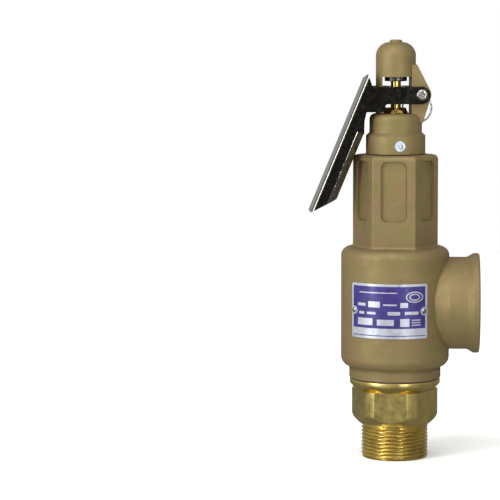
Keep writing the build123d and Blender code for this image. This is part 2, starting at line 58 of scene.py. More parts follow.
MM = 0.001  # one millimetre in metres
WELD = 0.001 * MM  # points closer than this are one point
THREAD_STEPS = 10  # rings in one turn of a thread
CAST_EDGE, PRESSED_EDGE, TURNED_EDGE = 0.45 * MM, 0.35 * MM, 0.25 * MM  # how far edges are eased
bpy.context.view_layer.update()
NOZZLE_LOW, NOZZLE_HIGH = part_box("inlet_nozzle")
BODY_LOW, BODY_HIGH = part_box("body_casting")
PLATE_LOW, PLATE_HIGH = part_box("nameplate")
MOUNTS = {mount["name"]: mount for mount in frame["record"]["mounts"]}


# ---- Sizes and colours that a user would change ------------------------------------------------

def length(name, description, millimetres):
    return FloatProperty(name=name, description=description, default=millimetres * MM,
                         unit="LENGTH", precision=5)


def colour(name, description, value):
    return StringProperty(name=name, description=description, default=value)


class ValveSizes(bpy.types.PropertyGroup):
    """The sizes of the pieces that are made here"""
    thread_pitch: length("Thread pitch", "Pitch of both pipe threads, 11 to the inch", 2.309)
    thread_depth: length("Thread depth", "Crest to root of the pipe thread", 1.479)
    thread_length: length("Inlet thread length", "Length of the inlet's thread", 22.0)
    thread_lead: length("Thread lead-in", "Length over which the thread starts", 1.6)
    thread_run_out: length("Thread run-out", "Length over which the thread fades", 2.4)
    outlet_facets: IntProperty(name="Outlet facets", description="Facets round the outlet's thread",
                               default=192)
    hex_flats: length("Hexagon", "Across the inlet hexagon's flats", 50.0)
    hex_corners: length("Hexagon corners", "Diameter its corners are turned to", 54.0)
    hex_height: length("Hexagon height", "Height of the inlet's hexagon", 21.6)
    hex_lower_round: length("Hexagon lower taper", "Height of the turned lower corners", 6.5)
    hex_lower_step: length("Hexagon lower step", "How much narrower its lower end is", 5.0)
    taper_height: length("Taper height", "Height of the taper under the collar", 3.4)
    collar_height: length("Collar height", "Height of the collar", 3.3)
    collar_round: length("Collar edge", "Rounding of the collar's edges", 0.5)
    hidden_thread_d: length("Nozzle thread", "Diameter screwed into the body", 46.0)
    hidden_thread_length: length("Nozzle thread length", "Length in the body", 13.0)
    seat_foot_d: length("Seat foot", "Diameter at the foot of the seat's rim", 40.0)
    seat_rim_d: length("Seat rim", "Outside diameter of the seat's rim", 31.0)
    bore_d: length("Inlet bore", "Diameter of the inlet's bore", 32.0)
    bore_length: length("Bore length", "Length of the inlet's bore", 46.0)
    throat_d: length("Throat", "Diameter of the throat", 26.0)
    throat_taper: length("Throat taper", "Height of the taper to the throat", 8.0)
    outlet_ridge: length("Outlet ridge", "Height of the thread drawn in the outlet", 0.9)
    sleeve_wall: length("Outlet sleeve", "Metal left under the outlet's thread", 0.05)
    plate_border: length("Plate border", "Bare border of the nameplate", 1.5)
    plate_corner: length("Plate corner", "Corner radius of the nameplate", 1.2)
    ink_thickness: length("Ink", "Thickness of the nameplate's print as drawn", 0.06)
    emblem_width: length("Emblem width", "Width of the plain oval on the nameplate", 11.4)
    emblem_height: length("Emblem height", "Height of the plain oval on the nameplate", 7.0)
    emblem_line: length("Emblem line", "Width of the oval's line", 0.7)
    hex_turn: FloatProperty(name="Hexagon turn", description="Turn of the inlet's hexagon",
                            default=radians(-6.4), subtype="ANGLE")
    facets: IntProperty(name="Facets", description="Facets round the inlet nozzle", default=288)


class ValveColours(bpy.types.PropertyGroup):
    """Base colours, as sRGB hex values"""
    bronze: colour("Bronze", "Blasted casting", "#7F7148")
    bronze_pink: colour("Bronze, coppery", "Coppery patches of the casting", "#806A4A")
    bronze_green: colour("Bronze, green", "Greenish patches of the casting", "#766C40")
    brass: colour("Brass", "Machined nozzle", "#DEC87A")
    brass_dull: colour("Brass, dull", "Handled patches of the nozzle", "#C4B06C")
    bright_brass: colour("Bright brass", "Turned screw", "#D8BC62")
    steel: colour("Steel", "Ground steel", "#B9B9B6")
    polished: colour("Black chrome", "Polished lever", "#86837C")
    smudged: colour("Black chrome, smudged", "Handled patches of the lever", "#807B71")
    blackened: colour("Blackened steel", "Oiled black nuts", "#35322E")
    zinc: colour("Zinc", "Plated set screw", "#8E9AAC")
    spring: colour("Spring steel", "Oil-tempered wire", "#4C4C50")
    fibre: colour("Fibre", "Pressed gasket", "#3A3026")
    fibre_fleck: colour("Fibre, flecks", "Lighter flecks of the gasket", "#554636")
    polymer: colour("PTFE", "Machined seat", "#ECECE6")
    polymer_fleck: colour("PTFE, flecks", "Duller flecks of the seat", "#DADAD2")
    print_field: colour("Plate print", "Printed field of the nameplate", "#31236F")
    print_deep: colour("Plate print, deep", "Uneven patches of the print", "#251A56")
    plate_metal: colour("Plate metal", "Bare nameplate", "#B4B8C2")
    plate_handled: colour("Plate metal, handled", "Handling marks of the nameplate", "#9A9DA8")
    floor: colour("Floor", "Studio floor", "#F7F7F5")
    floor_patch: colour("Floor, patches", "Slightly darker patches of the floor", "#F3F3F1")


class ValveStage(bpy.types.PropertyGroup):
    """Camera, lights and floor"""
    camera_place: FloatVectorProperty(name="Camera", description="Place of the camera",
                                      default=(0.0, -1.512, 0.2883), subtype="TRANSLATION",
                                      unit="LENGTH")
    camera_pitch: FloatProperty(name="Pitch", description="How far the camera looks down",
                                default=radians(5.94), subtype="ANGLE")
    camera_yaw: FloatProperty(name="Yaw", description="How far the camera is turned left",
                              default=radians(3.463), subtype="ANGLE")
    camera_roll: FloatProperty(name="Roll", description="How far the camera is tipped clockwise",
                               default=radians(0.15), subtype="ANGLE")
    camera_lens: FloatProperty(name="Lens", description="Focal length in millimetres", default=173.7)
    floor_radius: FloatProperty(name="Floor radius", description="Radius of the floor", default=1.3,
                                unit="LENGTH")


def sizes():
    return bpy.context.scene.valve_sizes


def colours():
    return bpy.context.scene.valve_colours


# ---- Mesh helpers --------------------------------------------------------------------------------

def finish_mesh(bm, name, body, sharp_degrees=32.0):
    """Turns a bmesh into an object that rides on a body, smooth but for its sharp edges."""
    bmesh.ops.remove_doubles(bm, verts=bm.verts, dist=WELD)
    bmesh.ops.recalc_face_normals(bm, faces=bm.faces)
    for face in bm.faces:
        face.smooth = True
    for edge in bm.edges:
        edge.smooth = len(edge.link_faces) == 2 and edge.calc_face_angle() < radians(sharp_degrees)
    mesh = bpy.data.meshes.new(name)
    bm.to_mesh(mesh)
    bm.free()
    obj = bpy.data.objects.new(name, mesh)
    bpy.context.scene.collection.objects.link(obj)
    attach(obj, body)
    return obj


def lathe(bm, stations, facets, place, closed):
    """Skins rings of points: each station is a function of the angle that gives (radius, height)."""
    rings = []
    for station in stations:
        ring = []
        for index in range(facets):
            angle = 2 * pi * index / facets
            radius, height = station(angle)
            ring.append(bm.verts.new(place(radius, angle, height)))
        rings.append(ring)
    count = len(rings) if closed else len(rings) - 1
    for row in range(count):
        lower, upper = rings[row], rings[(row + 1) % len(rings)]
        for index in range(facets):
            after = (index + 1) % facets
            bm.faces.new((lower[index], lower[after], upper[after], upper[index]))


def thread_share(along, angle, pitch):
    """0 at the thread's root and 1 at its crest, for a right-hand helix with rounded flanks."""
    phase = (along / pitch - angle / (2 * pi)) % 1.0
    return 0.5 - 0.5 * cos(pi * (1.0 - abs(2.0 * phase - 1.0)))


def soften_edges(node, width, angle=38.0):
    """Eases a CAD piece's sharp edges with a small bevel."""
    obj = frame["nodes"][node]
    bevel = obj.modifiers.new("eased edges", "BEVEL")
    bevel.width = width
    bevel.segments = 2
    bevel.limit_method = "ANGLE"
    bevel.angle_limit = radians(angle)
    bevel.harden_normals = False
    bevel.use_clamp_overlap = True


# ---- Materials -----------------------------------------------------------------------------------

# a mix node's sockets for colours, by place because other kinds of mix have the same names
MIX_SHARE, MIX_FIRST, MIX_SECOND, MIX_RESULT = 0, 6, 7, 2
WAVE_BANDS = 20  # how much finer a wave texture's bands are than its scale says


def linear(hex_value):
    """An sRGB hex value as a linear colour with alpha."""
    channels = []
    for start in (1, 3, 5):
        value = int(hex_value[start:start + 2], 16) / 255
        channels.append(value / 12.92 if value <= 0.04045 else ((value + 0.055) / 1.055) ** 2.4)
    return (*channels, 1.0)


def per_mm(size):
    """The scale that gives a pattern in object metres features of this many millimetres."""
    return 1.0 / (size * MM)


def add_node(tree, kind, settings=None, links=None):
    """Adds a node; settings name attributes or inputs, links join outputs to its inputs."""
    node = tree.nodes.new(kind)
    for key, value in (settings or {}).items():
        if isinstance(key, str) and hasattr(node, key):
            setattr(node, key, value)
        else:
            node.inputs[key].default_value = value
    for key, output in (links or {}).items():
        tree.links.new(output, node.inputs[key])
    return node


def new_material(name):
    """An empty node material with its shader, output and object coordinates."""
    material = bpy.data.materials.new(name)
    material.use_nodes = True
    tree = material.node_tree
    tree.nodes.clear()
    output = add_node(tree, "ShaderNodeOutputMaterial")
    shader = add_node(tree, "ShaderNodeBsdfPrincipled")
    tree.links.new(shader.outputs["BSDF"], output.inputs["Surface"])
    place = add_node(tree, "ShaderNodeTexCoord").outputs["Object"]
    return material, tree, shader, place


def spread_noise(tree, place, size, detail, low, high, to_low=0.0, to_high=1.0):
    """Noise with features of this many millimetres, its middle span spread over a new one."""
    noise = add_node(tree, "ShaderNodeTexNoise",
                     {"Scale": per_mm(size), "Detail": detail, "Roughness": 0.6}, {"Vector": place})
    spread = add_node(tree, "ShaderNodeMapRange",
                      {"From Min": low, "From Max": high, "To Min": to_low, "To Max": to_high},
                      {"Value": noise.outputs["Fac"]})
    return spread.outputs["Result"]


def mottled(tree, place, first, second, size, detail, low, high):
    """A colour that turns in patches from the first, a socket or a hex value, to the second."""
    patches = spread_noise(tree, place, size, detail, low, high)
    settings = {"data_type": "RGBA", MIX_SECOND: linear(second)}
    links = {MIX_SHARE: patches}
    if isinstance(first, str):
        settings[MIX_FIRST] = linear(first)
    else:
        links[MIX_FIRST] = first
    return add_node(tree, "ShaderNodeMix", settings, links).outputs[MIX_RESULT]


def vary_roughness(tree, shader, place, size, detail, smooth, rough, high=0.70):
    """Makes the surface smoother and rougher in patches of this many millimetres."""
    spread = spread_noise(tree, place, size, detail, 0.30, high, smooth, rough)
    tree.links.new(spread, shader.inputs["Roughness"])


def uneven_skin(tree, shader, place, size, detail, depth, strength, under=None):
    """Raises the surface in swellings this wide and deep, in millimetres, over what is under it."""
    noise = add_node(tree, "ShaderNodeTexNoise",
                     {"Scale": per_mm(size), "Detail": detail, "Roughness": 0.6}, {"Vector": place})
    links = {"Height": noise.outputs["Fac"]}
    if under is not None:
        links["Normal"] = under
    bump = add_node(tree, "ShaderNodeBump", {"Strength": strength, "Distance": depth * MM}, links)
    tree.links.new(bump.outputs["Normal"], shader.inputs["Normal"])
    return bump.outputs["Normal"]


def tool_rings(tree, shader, place, spacing, wander, depth, strength):
    """Cuts the rings a tool leaves round the axis, this far apart and deep in millimetres."""
    rings = add_node(tree, "ShaderNodeTexWave",
                     {"bands_direction": "Z", "Scale": per_mm(spacing) / WAVE_BANDS,
                      "Distortion": wander, "Detail": 2.0}, {"Vector": place})
    bump = add_node(tree, "ShaderNodeBump", {"Strength": strength, "Distance": depth * MM},
                    {"Height": rings.outputs["Fac"]})
    tree.links.new(bump.outputs["Normal"], shader.inputs["Normal"])
    return bump.outputs["Normal"]


def painted_edge_highlight(tree, radius):
    """0 on a flat face and 1 along an edge, where bright steel is painted as a highlight."""
    rounded = add_node(tree, "ShaderNodeBevel", {"samples": 4, "Radius": radius * MM})
    plain = add_node(tree, "ShaderNodeNewGeometry")
    alike = add_node(tree, "ShaderNodeVectorMath", {"operation": "DOT_PRODUCT"},
                     {0: rounded.outputs["Normal"], 1: plain.outputs["Normal"]})
    spread = add_node(tree, "ShaderNodeMapRange", {"From Min": 0.98, "From Max": 0.75},
                      {"Value": alike.outputs["Value"]})
    return spread.outputs["Result"]


def cast_bronze():
    """Bronze, sand cast and blasted: an even satin grain with coppery and greenish patches."""
    palette = colours()
    material, tree, shader, place = new_material("cast_bronze_blasted")
    coppery = mottled(tree, place, palette.bronze, palette.bronze_pink,
                      size=24.0, detail=3.0, low=0.38, high=0.62)
    greenish = mottled(tree, place, coppery, palette.bronze_green,
                       size=11.0, detail=4.0, low=0.45, high=0.70)
    # the blasting's real grit leaves 0.15 mm dimples, drawn at 0.5 mm so that they show
    dimples = add_node(tree, "ShaderNodeTexNoise",
                       {"Scale": per_mm(0.5), "Detail": 2.0, "Roughness": 0.5}, {"Vector": place})
    # the grit's speckled tone together with painted shade: the colour is darker in the dimples' hollows
    # and lighter on their crests, which the bump below also shades
    shade = add_node(tree, "ShaderNodeMapRange",
                     {"From Min": 0.30, "From Max": 0.70, "To Min": 0.86, "To Max": 1.10},
                     {"Value": dimples.outputs["Fac"]})
    shaded = add_node(tree, "ShaderNodeVectorMath", {"operation": "SCALE"},
                      {0: greenish, "Scale": shade.outputs["Result"]})
    tree.links.new(shaded.outputs["Vector"], shader.inputs["Base Color"])
    # the blasted skin scatters so much light that it reads as half metal
    shader.inputs["Metallic"].default_value = 0.55
    vary_roughness(tree, shader, place, 6.0, 5.0, smooth=0.52, rough=0.66)
    swollen = uneven_skin(tree, shader, place, size=7.0, detail=3.0, depth=0.10, strength=0.55)
    dimpled = add_node(tree, "ShaderNodeBump", {"Strength": 0.75, "Distance": 0.035 * MM},
                       {"Height": dimples.outputs["Fac"], "Normal": swollen})
    tree.links.new(dimpled.outputs["Normal"], shader.inputs["Normal"])
    return material


def machined_brass():
    """Brass, machined and handled: fine tool rings with duller fingered patches."""
    palette = colours()
    material, tree, shader, place = new_material("machined_brass")
    base = mottled(tree, place, palette.brass, palette.brass_dull,
                   size=14.0, detail=5.0, low=0.40, high=0.66)
    tree.links.new(base, shader.inputs["Base Color"])
    shader.inputs["Metallic"].default_value = 1.0
    vary_roughness(tree, shader, place, 5.0, 6.0, smooth=0.24, rough=0.44, high=0.72)
    # tool rings every 0.25 mm in the real one, drawn at 0.5 mm
    rings = tool_rings(tree, shader, place, spacing=0.5, wander=0.6, depth=0.006, strength=0.5)
    uneven_skin(tree, shader, place, size=1.2, detail=3.0, depth=0.015, strength=0.5, under=rings)
    return material


def turned_metal(name, base_name, other_name, smooth, rough, ring_size):
    """A metal part off the lathe: rings about the valve's axis that streak the highlight."""
    palette = colours()
    material, tree, shader, place = new_material(name)
    base = mottled(tree, place, getattr(palette, base_name), getattr(palette, other_name),
                   size=4.0, detail=5.0, low=0.40, high=0.70)
    tree.links.new(base, shader.inputs["Base Color"])
    shader.inputs["Metallic"].default_value = 1.0
    vary_roughness(tree, shader, place, 1.5, 6.0, smooth=smooth, rough=rough)
    tool_rings(tree, shader, place, ring_size, wander=0.4, depth=0.01, strength=0.4)
    return material


def polished_lever():
    """Steel strip, pressed and black-chromed: a dark mirror with rolling waves, its edges painted bright
    steel as a highlight.
    """
    palette = colours()
    material, tree, shader, place = new_material("steel_pressed_black_chrome")
    # painted highlight: bright steel is mixed into the colour along every edge of the lever
    edge_highlight = painted_edge_highlight(tree, 0.5)
    smudged = mottled(tree, place, palette.polished, palette.smudged,
                      size=9.0, detail=5.0, low=0.42, high=0.66)
    base = add_node(tree, "ShaderNodeMix", {"data_type": "RGBA", MIX_SECOND: linear(palette.steel)},
                    {MIX_SHARE: edge_highlight, MIX_FIRST: smudged})
    tree.links.new(base.outputs[MIX_RESULT], shader.inputs["Base Color"])
    shader.inputs["Metallic"].default_value = 1.0
    vary_roughness(tree, shader, place, 3.0, 6.0, smooth=0.05, rough=0.15, high=0.72)
    # the strip's slight waves from rolling and pressing
    waves = uneven_skin(tree, shader, place, size=18.0, detail=1.0, depth=0.12, strength=0.30)
    uneven_skin(tree, shader, place, size=0.8, detail=3.0, depth=0.006, strength=0.4, under=waves)
    return material


def printed_plate():
    """Aluminium foil plate, printed and lacquered: deep ink under a thin clear coat."""
    palette = colours()
    material, tree, shader, place = new_material("aluminium_printed_lacquer")
    base = mottled(tree, place, palette.print_field, palette.print_deep,
                   size=5.0, detail=4.0, low=0.40, high=0.66)
    tree.links.new(base, shader.inputs["Base Color"])
    shader.inputs["Metallic"].default_value = 0.15
    shader.inputs["Coat Weight"].default_value = 0.5
    shader.inputs["Coat Roughness"].default_value = 0.12
    vary_roughness(tree, shader, place, 2.0, 5.0, smooth=0.32, rough=0.48)
    uneven_skin(tree, shader, place, size=1.5, detail=3.0, depth=0.01, strength=0.4)
    return material


def plate_metal():
    """Aluminium foil plate, bare and lacquered: pale satin metal with handling marks."""
    palette = colours()
    material, tree, shader, place = new_material("aluminium_bare_lacquer")
    base = mottled(tree, place, palette.plate_metal, palette.plate_handled,
                   size=3.0, detail=6.0, low=0.45, high=0.72)
    tree.links.new(base, shader.inputs["Base Color"])
    shader.inputs["Metallic"].default_value = 0.55
    vary_roughness(tree, shader, place, 1.0, 5.0, smooth=0.30, rough=0.46)
    uneven_skin(tree, shader, place, size=1.2, detail=3.0, depth=0.012, strength=0.5)
    return material


def soft_solid(name, base_name, fleck_name, grain_size, smooth, rough, depth):
    """A pressed or machined non-metal: flecked, matt and slightly uneven."""
    palette = colours()
    material, tree, shader, place = new_material(name)
    base = mottled(tree, place, getattr(palette, base_name), getattr(palette, fleck_name),
                   size=grain_size, detail=4.0, low=0.42, high=0.66)
    tree.links.new(base, shader.inputs["Base Color"])
    vary_roughness(tree, shader, place, grain_size * 2, 4.0, smooth=smooth, rough=rough)
    uneven_skin(tree, shader, place, size=grain_size, detail=4.0, depth=depth, strength=0.6)
    return material


def paint(obj, *materials):
    """Gives a new object these materials in order."""
    for material in materials:
        obj.data.materials.append(material)


def paint_node(node, material):
    """Puts one material in every slot of a CAD node."""
    obj = frame["nodes"][node]
    if not obj.material_slots:
        obj.data.materials.append(material)
    for material_slot in obj.material_slots:
        material_slot.material = material


# ---- Inlet nozzle --------------------------------------------------------------------------------

LEAD_START = 0.4 * MM  # how far along its lead-in the thread's end face is
LEAD_DEPTH = 0.75  # how much of the thread's depth the lead-in takes away


def inlet_thread_station(height):
    """A ring of the inlet's thread, shallower at the lead-in and the run-out."""
    size = sizes()
    crest = MOUNTS["inlet_thread"]["dims"]["r_mm"] * MM
    fade_out = min(1.0, max(0.0, (size.thread_length - height) / size.thread_run_out))
    lead = min(1.0, (height + LEAD_START) / size.thread_lead)

    def ring(angle):
        root_share = 1.0 - thread_share(height, angle, size.thread_pitch)
        radius = crest - size.thread_depth * root_share * fade_out
        return min(radius, crest - size.thread_depth * LEAD_DEPTH * (1.0 - lead)), height
    return ring


def hexagon_station(height, start):
    """A ring of the hexagon, with its corners turned away towards its lower end."""
    size = sizes()
    flat = size.hex_flats / 2
    foot = flat - size.hex_lower_step / 2
    up = min(1.0, (height - start) / size.hex_lower_round)
    limit = foot + (size.hex_corners / 2 - foot) * sin(up * pi / 2)

    def ring(angle):
        from_corner = (angle + pi / 2) % (pi / 3) - pi / 6
        from_flat = abs(from_corner) - pi / 6
        return min(flat / cos(from_flat), limit), height
    return ring


def round_station(radius, height):
    """A plain round ring."""
    return lambda angle: (radius, height)


def nozzle_stations():
    """The nozzle's rings from its lower end up the outside and down the bore."""
    size = sizes()
    stations = []
    thread_step = size.thread_pitch / THREAD_STEPS
    count = round(size.thread_length / thread_step)
    for index in range(count + 1):
        stations.append(inlet_thread_station(size.thread_length * index / count))
    hex_steps = 16
    for index in range(hex_steps + 1):
        rise = size.hex_lower_round * index / hex_steps
        stations.append(hexagon_station(size.thread_length + rise, size.thread_length))
    hex_top = size.thread_length + size.hex_height
    stations.append(hexagon_station(hex_top, size.thread_length))
    collar_r = NOZZLE_HIGH.x
    collar_low = hex_top + size.taper_height
    collar_top = collar_low + size.collar_height
    stations.append(round_station(size.hex_flats / 2, hex_top))
    stations.append(round_station(collar_r - size.collar_round, collar_low - size.collar_round / 2))
    edge = size.collar_round
    for centre, turns in ((collar_low + edge, (-60, -30, 0)), (collar_top - edge, (0, 30, 60, 90))):
        for turn in turns:
            lean = radians(turn)
            stations.append(round_station(collar_r - edge + edge * cos(lean), centre + edge * sin(lean)))
    body_thread_top = collar_top + size.hidden_thread_length
    bore_r = size.bore_d / 2
    throat_top = size.bore_length + size.throat_taper
    for radius, height in (
            (size.hidden_thread_d / 2, collar_top),
            (size.hidden_thread_d / 2, body_thread_top),
            (size.seat_foot_d / 2, body_thread_top),
            (size.seat_rim_d / 2, NOZZLE_HIGH.z),
            (size.throat_d / 2, NOZZLE_HIGH.z),
            (size.throat_d / 2, throat_top),
            (bore_r, size.bore_length),
            (bore_r, 0.0)):
        stations.append(round_station(radius, height))
    return stations


class VALVE_OT_inlet_nozzle(bpy.types.Operator):
    """Makes the inlet nozzle with its pipe thread, hexagon and collar"""
    bl_idname = "valve.inlet_nozzle"
    bl_label = "Inlet nozzle"

    def execute(self, context):
        size = sizes()
        if size.facets % 6:
            raise ValueError("the facets have to be a multiple of six, for the hexagon's corners")
        turn = size.hex_turn
        bm = bmesh.new()

        def place(radius, angle, height):
            return (radius * cos(angle + turn), radius * sin(angle + turn), height)

        lathe(bm, nozzle_stations(), size.facets, place, closed=True)
        nozzle = finish_mesh(bm, "threaded_inlet_nozzle", "housing", 26.0)
        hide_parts("inlet_nozzle")
        paint(nozzle, machined_brass())
        return {"FINISHED"}


SLEEVE_GAP = 0.02 * MM  # between the outlet's bore and the sleeve that carries its thread


class VALVE_OT_outlet_thread(bpy.types.Operator):
    """Makes the female thread inside the outlet"""
    bl_idname = "valve.outlet_thread"
    bl_label = "Outlet thread"

    def execute(self, context):
        size = sizes()
        mount = MOUNTS["outlet_thread"]
        outer = mount["dims"]["r_mm"] * MM - SLEEVE_GAP
        span = mount["dims"]["length_mm"] * MM
        centre = Vector(mount["pos_m"])
        start = 2 * centre.x - BODY_HIGH.x  # the mount is centred on the bored length
        inner = outer - size.sleeve_wall - size.outlet_ridge
        if inner <= 0.0:
            raise ValueError("the outlet's ridge and sleeve fill its bore")
        steps = round(span / size.thread_pitch * THREAD_STEPS)

        def ridge(share_along):
            along = span * share_along
            fade = min(1.0, along / size.thread_run_out, (span - along) / size.thread_lead)

            def ring(angle):
                rise = thread_share(along, angle, size.thread_pitch) * max(0.0, fade)
                return outer - size.sleeve_wall - (outer - size.sleeve_wall - inner) * rise, along
            return ring

        stations = [ridge(index / steps) for index in range(steps + 1)]
        stations.append(round_station(outer, span))
        stations.append(round_station(outer, 0.0))

        def place(radius, angle, along):
            return (start + along, radius * cos(angle), centre.z + radius * sin(angle))

        bm = bmesh.new()
        lathe(bm, stations, size.outlet_facets, place, closed=True)
        sleeve = finish_mesh(bm, "outlet_female_thread", "housing", 50.0)
        paint(sleeve, bpy.data.materials["machined_brass"])
        return {"FINISHED"}


# ---- Nameplate -----------------------------------------------------------------------------------

PLATE_INNER = -BODY_LOW.x  # radius of the barrel it is bent round
PLATE_OUTER = -PLATE_LOW.y  # radius of the plate's outer face
PLATE_FROM = radians(-50.0)
PLATE_TO = radians(35.0)
PLATE_STEP = 1.2 * MM  # arc between columns, short enough to look bent
CORNER_STEPS = 6  # columns in a rounded corner
BARE_STRIP = 0.19  # share of the plate's height below the print
LINE_TALL, LINE_CORNER = 0.5 * MM, 0.1 * MM  # the printed line near the lower edge
MARK_CORNER = 0.25 * MM
EMBLEM_ACROSS, EMBLEM_UP = 0.85, 0.79  # its place, as shares of the print
EMBLEM_RINGS = (1.0, 0.62)  # sizes of its two ovals
PAD_RADIUS, PAD_INSET = 2.6 * MM, 2.3 * MM  # the flat pads under the rivets


def wrap(bm, columns, inner, outer, material_index):
    """A thin shell round the barrel from (arc, low, high) columns, with its rim closed."""
    corners = []
    for arc, low, high in columns:
        angle = arc / PLATE_OUTER
        corners.append([bm.verts.new((radius * sin(angle), -radius * cos(angle), height))
                        for radius, height in ((outer, low), (outer, high), (inner, high), (inner, low))])
    faces = []
    for index in range(len(corners) - 1):
        near, far = corners[index], corners[index + 1]
        for side in range(4):
            after = (side + 1) % 4
            faces.append(bm.faces.new((near[side], far[side], far[after], near[after])))
    faces.append(bm.faces.new(corners[0]))
    faces.append(bm.faces.new(list(reversed(corners[-1]))))
    for face in faces:
        face.material_index = material_index


def rounded_columns(arc_from, arc_to, low, high, corner):
    """Columns of a rectangle whose corners are rounded, close enough together to bend."""
    arcs = set()
    for step in range(CORNER_STEPS + 1):
        reach = corner * (1 - cos(step * pi / 2 / CORNER_STEPS))
        arcs.add(arc_from + reach)
        arcs.add(arc_to - reach)
    count = max(2, int((arc_to - arc_from) / PLATE_STEP))
    for step in range(1, count):
        arcs.add(arc_from + corner + (arc_to - arc_from - 2 * corner) * step / count)
    columns = []
    for arc in sorted(arcs):
        from_end = min(arc - arc_from, arc_to - arc)
        short = max(0.0, corner - from_end)
        inset = corner - (max(0.0, corner * corner - short * short)) ** 0.5
        columns.append((arc, low + inset, high - inset))
    return columns


def oval_ring(bm, arc, height, half_width, half_height, line, inner, outer, material_index):
    """An oval ring of one line's width, made of short curved strips."""
    count = 48
    for index in range(count):
        points = []
        for turn in (index, index + 1):
            angle = 2 * pi * turn / count
            for grow in (0.0, line):
                points.append((arc + (half_width - grow) * cos(angle),
                               height + (half_height - grow) * sin(angle)))
        lower = []
        upper = []
        for along, level in (points[0], points[2], points[3], points[1]):
            bend = along / PLATE_OUTER
            upper.append(bm.verts.new((outer * sin(bend), -outer * cos(bend), level)))
            lower.append(bm.verts.new((inner * sin(bend), -inner * cos(bend), level)))
        faces = [bm.faces.new(upper), bm.faces.new(list(reversed(lower)))]
        for side in (0, 2):
            after = (side + 1) % 4
            faces.append(bm.faces.new((upper[side], lower[side], lower[after], upper[after])))
        for face in faces:
            face.material_index = material_index


def disc_columns(arc, height, radius):
    """Columns of a round pad."""
    columns = []
    steps = 16
    least = 0.02 * MM  # half the height of the first and last column, which can't be a point
    for step in range(steps + 1):
        angle = pi * step / steps
        half = max(least, radius * sin(angle))
        columns.append((arc - radius * cos(angle), height - half, height + half))
    return columns


def plate_marks():
    """The blank boxes and bars on the print, as (left, right, low, high) shares of the field."""
    marks = [(0.10, 0.62, 0.865, 0.885)]
    marks += [(0.08, 0.20, 0.60, 0.66), (0.24, 0.40, 0.58, 0.70), (0.44, 0.62, 0.62, 0.65)]
    marks += [(0.66, 0.76, 0.58, 0.68)]
    marks += [(0.10, 0.18, 0.44, 0.49), (0.22, 0.34, 0.44, 0.49), (0.50, 0.66, 0.43, 0.50)]
    marks += [(0.72, 0.90, 0.44, 0.50)]
    marks += [(0.08, 0.30, 0.22, 0.36), (0.36, 0.58, 0.22, 0.34), (0.66, 0.78, 0.20, 0.36)]
    for row in range(3):
        low = 0.22 + 0.05 * row
        marks.append((0.81, 0.93, low, low + 0.02))
    return marks


class VALVE_OT_nameplate(bpy.types.Operator):
    """Makes the nameplate with its printed field and blank boxes"""
    bl_idname = "valve.nameplate"
    bl_label = "Nameplate"

    def execute(self, context):
        size = sizes()
        low, high = PLATE_LOW.z, PLATE_HIGH.z
        arc_from, arc_to = PLATE_FROM * PLATE_OUTER, PLATE_TO * PLATE_OUTER
        metal_face = PLATE_OUTER - 2 * size.ink_thickness
        ink_face = PLATE_OUTER - size.ink_thickness
        border = size.plate_border
        bm = bmesh.new()
        wrap(bm, rounded_columns(arc_from, arc_to, low, high, size.plate_corner),
             PLATE_INNER, metal_face, 0)
        field_left, field_right = arc_from + border, arc_to - border
        field_top = high - border
        strip_top = low + BARE_STRIP * (high - low)
        if field_right <= field_left or field_top <= strip_top:
            raise ValueError("the border leaves no room for the nameplate's print")
        wrap(bm, rounded_columns(field_left, field_right, strip_top, field_top, border * 0.4),
             metal_face, ink_face, 1)
        line_low = low + border * 1.1
        wrap(bm, rounded_columns(field_left, field_right, line_low, line_low + LINE_TALL, LINE_CORNER),
             metal_face, ink_face, 1)
        width, height = field_right - field_left, field_top - low - border
        for left, right, bottom, top in plate_marks():
            columns = rounded_columns(field_left + left * width, field_left + right * width,
                                      low + border + bottom * height, low + border + top * height,
                                      MARK_CORNER)
            wrap(bm, columns, ink_face, PLATE_OUTER, 0)
        for reach in EMBLEM_RINGS:
            oval_ring(bm, field_left + EMBLEM_ACROSS * width, low + border + EMBLEM_UP * height,
                      size.emblem_width / 2 * reach, size.emblem_height / 2 * reach,
                      size.emblem_line, ink_face, PLATE_OUTER, 0)
        middle = (low + high) / 2
        for arc in (arc_from + PAD_INSET, arc_to - PAD_INSET):
            wrap(bm, disc_columns(arc, middle, PAD_RADIUS), metal_face, PLATE_OUTER, 0)
        plate = finish_mesh(bm, "printed_nameplate", "housing", 30.0)
        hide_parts("nameplate")
        paint(plate, plate_metal(), printed_plate())
        return {"FINISHED"}


# ---- Pieces that keep their CAD shape --------------------------------------------------------------

class VALVE_OT_castings(bpy.types.Operator):
    """Finishes the body and the yoke as blasted bronze castings"""
    bl_idname = "valve.castings"
    bl_label = "Castings"

    def execute(self, context):
        bronze = cast_bronze()
        for node in ("body_casting", "yoke_cap"):
            paint_node(node, bronze)
            soften_edges(node, CAST_EDGE)
        return {"FINISHED"}


class VALVE_OT_lever(bpy.types.Operator):
    """Finishes the lever, its pivot pin and its split ring"""
    bl_idname = "valve.lever"
    bl_label = "Lever, pin and ring"

    def execute(self, context):
        paint_node("lever", polished_lever())
        soften_edges("lever", PRESSED_EDGE)
        bright = turned_metal("steel_turned_polished", "steel", "polished",
                              smooth=0.14, rough=0.28, ring_size=0.4)
        paint_node("lever_pin", bright)
        paint_node("split_ring", turned_metal("steel_wire_drawn", "steel", "steel",
                                              smooth=0.22, rough=0.36, ring_size=0.3))
        return {"FINISHED"}


